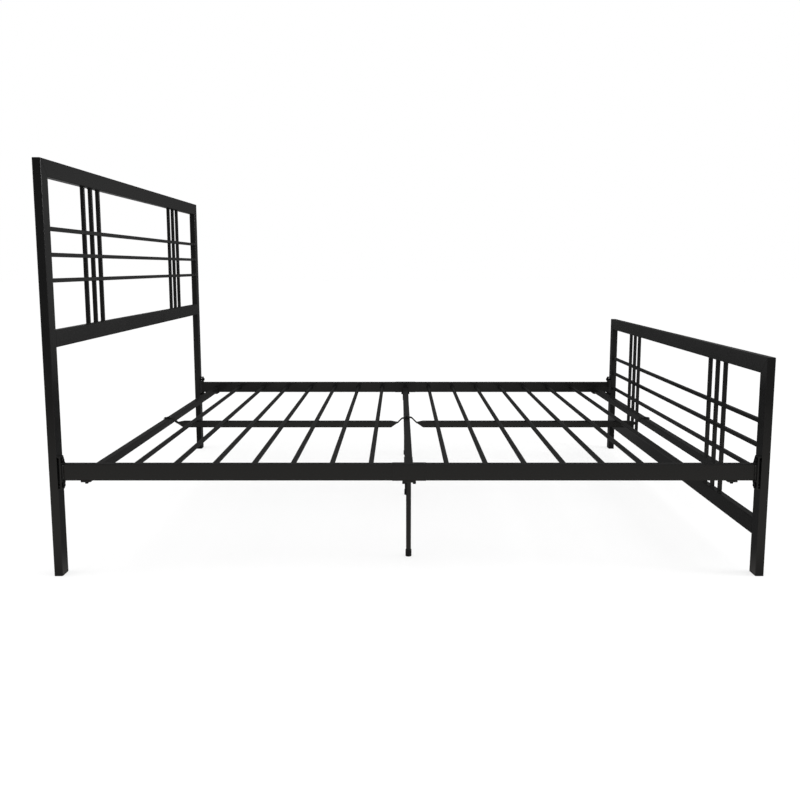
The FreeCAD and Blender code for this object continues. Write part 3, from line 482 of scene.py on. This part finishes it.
def weld_piece(name, beads):
    """One object of all these beads, as (points, faces) each."""
    offsets = np.cumsum([0] + [len(points) for points, _ in beads[:-1]])
    points = np.concatenate([points for points, _ in beads])
    faces = np.concatenate([faces + start for (_, faces), start in zip(beads, offsets)])
    mesh = bpy.data.meshes.new(name)
    mesh.vertices.add(len(points))
    mesh.vertices.foreach_set("co", points.astype(np.float32).ravel())
    mesh.loops.add(faces.size)
    mesh.loops.foreach_set("vertex_index", faces.astype(np.int32).ravel())
    mesh.polygons.add(len(faces))
    mesh.polygons.foreach_set("loop_start", np.arange(0, faces.size, 4, dtype=np.int32))
    mesh.polygons.foreach_set("use_smooth", np.ones(len(faces), bool))
    mesh.update(calc_edges=True)
    if mesh.validate():
        raise RuntimeError(f"{name} has bad faces")
    piece = bpy.data.objects.new(name, mesh)
    bpy.context.scene.collection.objects.link(piece)
    piece.data.materials.append(weld_coat())
    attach(piece, BODY)
    return piece


def weld_coat():
    """The powder coat on the beads, made once."""
    name = "weld_coat"
    if name in bpy.data.materials:
        return bpy.data.materials[name]
    return powder_coat(name, bpy.context.scene.bed_coat.frame_colour)


def box(node):
    """(lowest corner, highest corner) of a CAD node as arrays."""
    low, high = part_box(node)
    return np.array(low), np.array(high)


def bands(node, axis, gap):
    """(low, high) of each run of a CAD node's coordinates on one axis, more than gap apart."""
    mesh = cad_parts[node].data
    points = np.zeros(len(mesh.vertices) * 3)
    mesh.vertices.foreach_get("co", points)
    values = np.unique(points.reshape(-1, 3)[:, AXES[axis]].round(6))
    cuts = np.flatnonzero(np.diff(values) > gap) + 1
    return [(band[0], band[-1]) for band in np.split(values, cuts)]


def bed_side(board):
    """X of a board's bed-side face, and the direction from that face to the bed."""
    low, high = box(f"{board}_low_rail")
    return (high[0], X) if board == "head" else (low[0], -X)


def across_thickness(board, trim):
    """The board's two faces in X, each trimmed by the tube's corner radius."""
    low, high = box(f"{board}_low_rail")
    return low[0] + trim, high[0] - trim


# ---------------------------------------------------------------- operators: finishes


class BED_OT_tube_coat(Operator):
    """Powder coat on the box tubes, with the drawn lines along each tube, and on the plates"""

    bl_idname = "bed.tube_coat"
    bl_label = "Tube Coat"

    def execute(self, context):
        colour = context.scene.bed_coat.frame_colour
        finishes = {grain: powder_coat(f"frame_coat_{grain}", colour, grain) for grain in AXES}
        finishes["plate"] = powder_coat("frame_coat_plate", colour)
        plates = ("bracket", "tabs", "pad", "saddle")
        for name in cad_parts:
            if slot_of(name) != "frame_coat":
                continue
            low, high = box(name)
            grain = "xyz"[int(np.argmax(high - low))]
            paint(name, finishes["plate" if any(word in name for word in plates) else grain])
        return {"FINISHED"}


class BED_OT_slat_coat(Operator):
    """Powder coat on the round slats, with the drawn lines along them"""

    bl_idname = "bed.slat_coat"
    bl_label = "Slat Coat"

    def execute(self, context):
        finish = powder_coat("slat_coat_y", context.scene.bed_coat.slat_colour, "y")
        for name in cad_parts:
            if slot_of(name) == "slat_coat":
                paint(name, finish)
        return {"FINISHED"}


class BED_OT_fittings(Operator):
    """Moulded plastic on glides, caps and sockets, black oxide on bolts, zinc on inserts"""

    bl_idname = "bed.fittings"
    bl_label = "Fittings"

    def execute(self, context):
        finishes = {
            "black_plastic": moulded_plastic("moulded_plastic"),
            "black_fasteners": blackened_steel("blackened_steel"),
            "zinc_inserts": zinc_plate("zinc_plate"),
        }
        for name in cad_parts:
            if slot_of(name) in finishes:
                paint(name, finishes[slot_of(name)])
        return {"FINISHED"}


# ---------------------------------------------------------------- operators: welds


class BED_OT_rail_welds(Operator):
    """Beads where the low rails meet the posts: fillets above and below, a fill on each face"""

    bl_idname = "bed.rail_welds"
    bl_label = "Low Rail Welds"

    def execute(self, context):
        leg = context.scene.bed_weld.rail_leg
        for board in BOARDS:
            beads = []
            low, high = box(f"{board}_low_rail")
            x_from, x_to = across_thickness(board, TUBE_ROUND)
            for y, inward in ((low[1], Y), (high[1], -Y)):
                for z, away in ((high[2], Z), (low[2], -Z)):
                    root = line((x_from, y, z), (x_to, y, z), inward, away)
                    beads.append(bead(*root, leg, fillet(steps=7)))
                groove = y - inward[1] * FILL_HALF
                for x, out in ((low[0], -X), (high[0], X)):
                    inset = x - out[0] * FILL_INSET
                    start = (inset, groove, low[2] + TUBE_ROUND)
                    end = (inset, groove, high[2] - TUBE_ROUND)
                    beads.append(bead(*line(start, end, Y, out), FILL_HALF, dome(steps=5)))
            weld_piece(f"{board}_low_rail_welds", beads)
        return {"FINISHED"}


class BED_OT_mitre_welds(Operator):
    """Beads at the mitred corners: a fillet inside each, and a low seam on the bed-side face"""

    bl_idname = "bed.mitre_welds"
    bl_label = "Mitre Welds"

    def execute(self, context):
        leg = context.scene.bed_weld.rail_leg
        for board in BOARDS:
            beads = []
            face, out = bed_side(board)
            rail_low, rail_high = box(f"{board}_top_rail")
            x_from, x_to = across_thickness(board, TUBE_ROUND)
            z = rail_low[2]
            width = rail_high[2] - rail_low[2]
            for y, inward in ((rail_low[1] + width, Y), (rail_high[1] - width, -Y)):
                root = line((x_from, y, z), (x_to, y, z), inward, -Z)
                beads.append(bead(*root, leg, fillet(steps=7)))
                corner = np.array([face, y, z])
                slope = (Z - inward) / math.sqrt(2)
                start = corner + slope * leg
                end = corner + slope * (width * math.sqrt(2) - 2 * leg)
                across = np.cross(slope, out)
                beads.append(bead(*line(start, end, across, out), SEAM_HALF, dome(steps=5)))
            weld_piece(f"{board}_mitre_welds", beads)
        return {"FINISHED"}


class BED_OT_bar_welds(Operator):
    """Beads round the ends of the level bars, against the posts"""

    bl_idname = "bed.bar_welds"
    bl_label = "Bar Welds"

    def execute(self, context):
        leg = context.scene.bed_weld.bar_leg
        for board in BOARDS:
            node = f"{board}_cross_bars"
            low, high = box(node)
            x, half = (low[0] + high[0]) / 2, (high[0] - low[0]) / 2
            beads = []
            for z_low, z_high in bands(node, "z", BAR_GAP):
                for y, inward in ((low[1], Y), (high[1], -Y)):
                    centre = np.array([x, y, (z_low + z_high) / 2])
                    root = ring(centre, X, Z, half, half, BAR_ROUND, inward)
                    beads.append(bead(*root, leg, fillet(steps=5), closed=True))
            weld_piece(f"{board}_bar_welds", beads)
        return {"FINISHED"}


class BED_OT_upright_welds(Operator):
    """Beads round the uprights' ends on the rails, and on each face where they meet a level bar"""

    bl_idname = "bed.upright_welds"
    bl_label = "Upright Welds"

    def execute(self, context):
        for board in BOARDS:
            beads = []
            for side in SIDES:
                node = f"{board}_spindles_{side}"
                spans = np.array(bands(node, "z", 0)).ravel()[::2].reshape(-1, 2)
                for y_band in bands(node, "y", BAR_GAP):
                    beads += self.upright(node, sum(y_band) / 2, spans)
            weld_piece(f"{board}_upright_welds", beads)
        return {"FINISHED"}

    def upright(self, node, y, spans):
        """The beads of one upright, whose lengths run over these spans."""
        leg = bpy.context.scene.bed_weld.bar_leg
        low, high = box(node)
        x, half = (low[0] + high[0]) / 2, (high[0] - low[0]) / 2
        beads = []
        for z, away in ((spans[0][0], Z), (spans[-1][1], -Z)):
            root = ring(np.array([x, y, z]), X, Y, half, half, BAR_ROUND, away)
            beads.append(bead(*root, leg, fillet(steps=4), closed=True))
        joints = [(z, -Z) for _, z in spans[:-1]] + [(z, Z) for z, _ in spans[1:]]
        reach = half - BAR_ROUND
        for z, away in joints:
            for out in (Y, -Y):
                edge = y + out[1] * half
                root = line((x - reach, edge, z), (x + reach, edge, z), out, away, density=2)
                beads.append(bead(*root, leg, fillet(steps=5)))
            for out in (X, -X):
                inset = x + out[0] * (half - THIN_FILL_INSET)
                groove = z - away[2] * THIN_FILL_HALF
                start, end = (inset, y - reach, groove), (inset, y + reach, groove)
                root = line(start, end, Z, out, density=2)
                beads.append(bead(*root, THIN_FILL_HALF, dome(steps=3)))
        return beads


class BED_OT_bracket_welds(Operator):
    """Beads where each side rail ends on its corner bracket: above, below and on the outer side"""

    bl_idname = "bed.bracket_welds"
    bl_label = "Bracket Welds"

    def execute(self, context):
        leg = context.scene.bed_weld.rail_leg
        for board in BOARDS:
            beads = []
            for side in SIDES:
                low, high = box(f"side_rail_{side}_{board}")
                x, along = (low[0], X) if board == "head" else (high[0], -X)
                y, out = (low[1], -Y) if side == "left" else (high[1], Y)
                for z, away in ((high[2], Z), (low[2], -Z)):
                    start = (x, low[1] + TUBE_ROUND, z)
                    end = (x, high[1] - TUBE_ROUND, z)
                    beads.append(bead(*line(start, end, along, away), leg, fillet(steps=7)))
                start = (x, y, low[2] + TUBE_ROUND)
                end = (x, y, high[2] - TUBE_ROUND)
                beads.append(bead(*line(start, end, along, out), leg, fillet(steps=7)))
            weld_piece(f"bracket_welds_{board}", beads)
        return {"FINISHED"}


class BED_OT_tab_welds(Operator):
    """Beads beside the cross-members on their end tabs, and across each tab's inner end"""

    bl_idname = "bed.tab_welds"
    bl_label = "Tab Welds"

    def execute(self, context):
        leg = context.scene.bed_weld.tab_leg
        pairs = {
            "head_cross_member": "head_member_tabs",
            "foot_cross_member": "foot_member_tabs",
            "centre_beam": "centre_beam_tabs",
        }
        for member, tabs in pairs.items():
            beads = []
            low, high = box(member)
            z = low[2]
            ends = bands(tabs, "y", TAB_GAP)
            for inner, outer, inward in ((ends[0][1], low[1], Y), (ends[1][0], high[1], -Y)):
                for x, out in ((low[0], -X), (high[0], X)):
                    start, end = (x, inner, z), (x, outer, z)
                    beads.append(bead(*line(start, end, out, Z), leg, fillet(steps=5)))
                start = (low[0] + TUBE_ROUND, inner, z)
                end = (high[0] - TUBE_ROUND, inner, z)
                beads.append(bead(*line(start, end, inward, -Z), leg, fillet(steps=5)))
            weld_piece(f"{member}_welds", beads)
        return {"FINISHED"}


class BED_OT_leg_welds(Operator):
    """Beads round the tops of the three centre legs"""

    bl_idname = "bed.leg_welds"
    bl_label = "Leg Welds"

    def execute(self, context):
        leg = context.scene.bed_weld.tab_leg
        beads = []
        for name in ("left", "middle", "right"):
            low, high = box(f"centre_leg_{name}")
            half = (high[1] - low[1]) / 2
            centre = (low + high) / 2
            centre[2] = high[2]
            root = ring(centre, X, Y, half, half, half, -Z, density=4)
            beads.append(bead(*root, leg, fillet(steps=6), closed=True))
        weld_piece("centre_leg_welds", beads)
        return {"FINISHED"}


# ---------------------------------------------------------------- operators: stage


def floor_disc(radius, rings=24, sectors=96):
    """A round floor at z = 0: a ring's radius grows as the square of its number, round a fan."""
    reach = (np.arange(1, rings + 1) / rings) ** 2 * radius
    turn = np.arange(sectors) / sectors * 2 * math.pi
    x, y = np.outer(reach, np.cos(turn)), np.outer(reach, np.sin(turn))
    points = np.concatenate([[[0, 0, 0]], np.stack([x, y, 0 * x], -1).reshape(-1, 3)])
    j = np.arange(sectors)
    fan = np.stack([0 * j, 1 + j, 1 + (j + 1) % sectors], -1)
    i = np.arange(rings - 1)[:, None] * sectors + 1
    beside = (j + 1) % sectors
    quads = np.stack([i + j, i + sectors + j, i + sectors + beside, i + beside], -1).reshape(-1, 4)
    mesh = bpy.data.meshes.new("floor")
    mesh.from_pydata(points.tolist(), [], fan.tolist() + quads.tolist())
    return mesh


def around(tree, place):
    """Level of the surround: dim behind the bed, brighter to the sides, in between in front."""
    unit = tree.node("VectorMath", place, settings={"operation": "NORMALIZE"})
    x, y, _ = tree.node("SeparateXYZ", unit.outputs["Vector"]).outputs
    aside = tree.math("ABSOLUTE", x)
    behind = tree.blend(tree.rise(aside, BACK_TO_SIDES), SURROUND_BACK, SURROUND_SIDES)
    return tree.blend(tree.fall(y, FRONT_TO_BACK), behind, SURROUND_FRONT)


class BED_OT_stage(Operator):
    """The pale floor, the soft lights and the camera"""

    bl_idname = "bed.stage"
    bl_label = "Stage"

    def execute(self, context):
        stage = context.scene.bed_stage
        self.floor(stage)
        self.lights(stage)
        self.camera(context.scene, stage)
        return {"FINISHED"}

    def floor(self, stage):
        """A plain matt floor that glows evenly to the camera, so that shadows on it stay faint.

        To mirrored rays it glows instead with painted shade and painted light: the surround's
        levels, a painted shadow near the bed, and a painted lit stretch in front of the bed."""
        shader = Shader("pale_floor")
        place = shader.place
        measured = shader.node("VectorMath", place, settings={"operation": "LENGTH"})
        # painted shadow for mirrored rays: dim near the bed, fading out to the surround's levels
        # farther away
        far = shader.rise(measured.outputs["Value"], PAINTED_SHADOW_FADE)
        dim = shader.blend(far, FLOOR_PAINTED_SHADOW, around(shader, place))
        x, y, _ = shader.node("SeparateXYZ", place).outputs
        # painted light for mirrored rays: a lit stretch in front of the bed, narrowing towards its
        # middle
        inward = shader.math("MULTIPLY_ADD", shader.math("ABSOLUTE", x), LIT_NARROWING, y)
        lit = shader.math("MULTIPLY", shader.rise(y, LIT_START), shader.fall(inward, LIT_END))
        mirrored = shader.node("LightPath").outputs["Is Glossy Ray"]
        matt = scaled(stage.floor_colour, stage.floor_shade)
        glow = scaled(stage.floor_colour, 1 - stage.floor_shade)
        material = shader.finish(
            Base_Color=shader.blend(mirrored, matt, BLACK),
            Roughness=0.9,
            Specular_IOR_Level=0.0,
            # painted reflection: to mirrored rays the floor glows with the painted shadow and the
            # painted lit stretch, to the camera with its even glow
            Emission_Color=shader.blend(mirrored, glow, shader.blend(lit, dim, FLOOR_PAINTED_LIGHT)),
            Emission_Strength=1.0,
        )
        mesh = floor_disc(stage.floor_radius)
        mesh.materials.append(material)
        floor = bpy.data.objects.new("floor", mesh)
        bpy.context.scene.collection.objects.link(floor)
        floor.visible_diffuse = False

    def lights(self, stage):
        """A wide soft light from above, tall ones beyond both boards, and a dim surround."""
        overhead = self.light("overhead", "SUN", stage.overhead_power, angle=OVERHEAD_ANGLE)
        overhead.visible_glossy = False
        for name, way, share in (("foot_side", 1, 1.0), ("head_side", -1, HEAD_LAMP_SHARE)):
            power = stage.side_power * share
            lamp = self.light(name, "AREA", power, shape="SQUARE", size=LAMP_SIZE)
            lamp.location = (way * LAMP_REACH, LAMP_Y, LAMP_HEIGHT)
            lamp.rotation_euler = (LAMP_TILT, 0, way * LAMP_TURN)
        self.surround(bpy.context.scene)

    def surround(self, scene):
        """White to the camera. What the coat mirrors is dim at mid height, and pale overhead."""
        world = scene.world = bpy.data.worlds.new("surround")
        tree = Tree(world)
        place = tree.node("TexCoord").outputs["Generated"]
        _, _, z = tree.node("SeparateXYZ", place).outputs
        tone = tree.blend(tree.rise(z, LOW_TO_HIGH), around(tree, place), SURROUND_HIGH)
        tone = tree.blend(tree.rise(z, HIGH_TO_ZENITH), tone, SURROUND_ZENITH)
        dim = tree.node("Background", tone).outputs[0]
        white = tree.node("Background", WHITE).outputs[0]
        camera = tree.node("LightPath").outputs["Is Camera Ray"]
        tree.node("OutputWorld", tree.node("MixShader", camera, dim, white).outputs[0])
        scene.view_settings.view_transform = "Standard"

    def light(self, name, kind, power, **settings):
        """A lamp object with its settings."""
        lamp = bpy.data.lights.new(name, kind)
        lamp.energy = power
        for key, value in settings.items():
            setattr(lamp, key, value)
        made = bpy.data.objects.new(name, lamp)
        bpy.context.scene.collection.objects.link(made)
        return made

    def camera(self, scene, stage):
        """The camera beside the bed, looking square across it and a little down."""
        lens = bpy.data.cameras.new("camera")
        lens.lens = stage.camera_lens
        lens.sensor_width = SENSOR
        lens.clip_end = 2 * stage.floor_radius
        camera = bpy.data.objects.new("camera", lens)
        scene.collection.objects.link(camera)
        camera.location = stage.camera_place
        camera.rotation_euler = (math.pi / 2 - stage.camera_pitch, 0, 0)
        scene.camera = camera


# ---------------------------------------------------------------- panel and registration


class BED_PT_panel(Panel):
    """Lists the steps and the settings in the sidebar"""

    bl_idname = "BED_PT_panel"
    bl_label = "Metal Bed Frame"
    bl_space_type = "VIEW_3D"
    bl_region_type = "UI"
    bl_category = "Bed Frame"

    def draw(self, context):
        for group in GROUPS:
            settings = getattr(context.scene, group)
            box_of = self.layout.box()
            for key in settings.__annotations__:
                box_of.prop(settings, key)
        for operator in STEPS:
            self.layout.operator(operator.bl_idname)


STEPS = (
    BED_OT_stage,
    BED_OT_tube_coat,
    BED_OT_slat_coat,
    BED_OT_fittings,
    BED_OT_rail_welds,
    BED_OT_mitre_welds,
    BED_OT_bar_welds,
    BED_OT_upright_welds,
    BED_OT_bracket_welds,
    BED_OT_tab_welds,
    BED_OT_leg_welds,
)
GROUPS = {"bed_coat": CoatSettings, "bed_weld": WeldSettings, "bed_stage": StageSettings}
CLASSES = (*GROUPS.values(), *STEPS, BED_PT_panel)


def register():
    """Registers the classes and puts the settings on the scene."""
    for cls in CLASSES:
        bpy.utils.register_class(cls)
    for name, group in GROUPS.items():
        setattr(bpy.types.Scene, name, PointerProperty(type=group))


def unregister():
    """Takes the settings and the classes away again."""
    for name in GROUPS:
        delattr(bpy.types.Scene, name)
    for cls in reversed(CLASSES):
        bpy.utils.unregister_class(cls)


def main():
    """Runs every step in order."""
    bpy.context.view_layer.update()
    register()
    for step in STEPS:
        name = step.bl_idname.split(".")[1]
        if "FINISHED" not in getattr(bpy.ops.bed, name)():
            raise RuntimeError(f"{step.bl_label} did not finish")


if __name__ == "__main__":
    main()
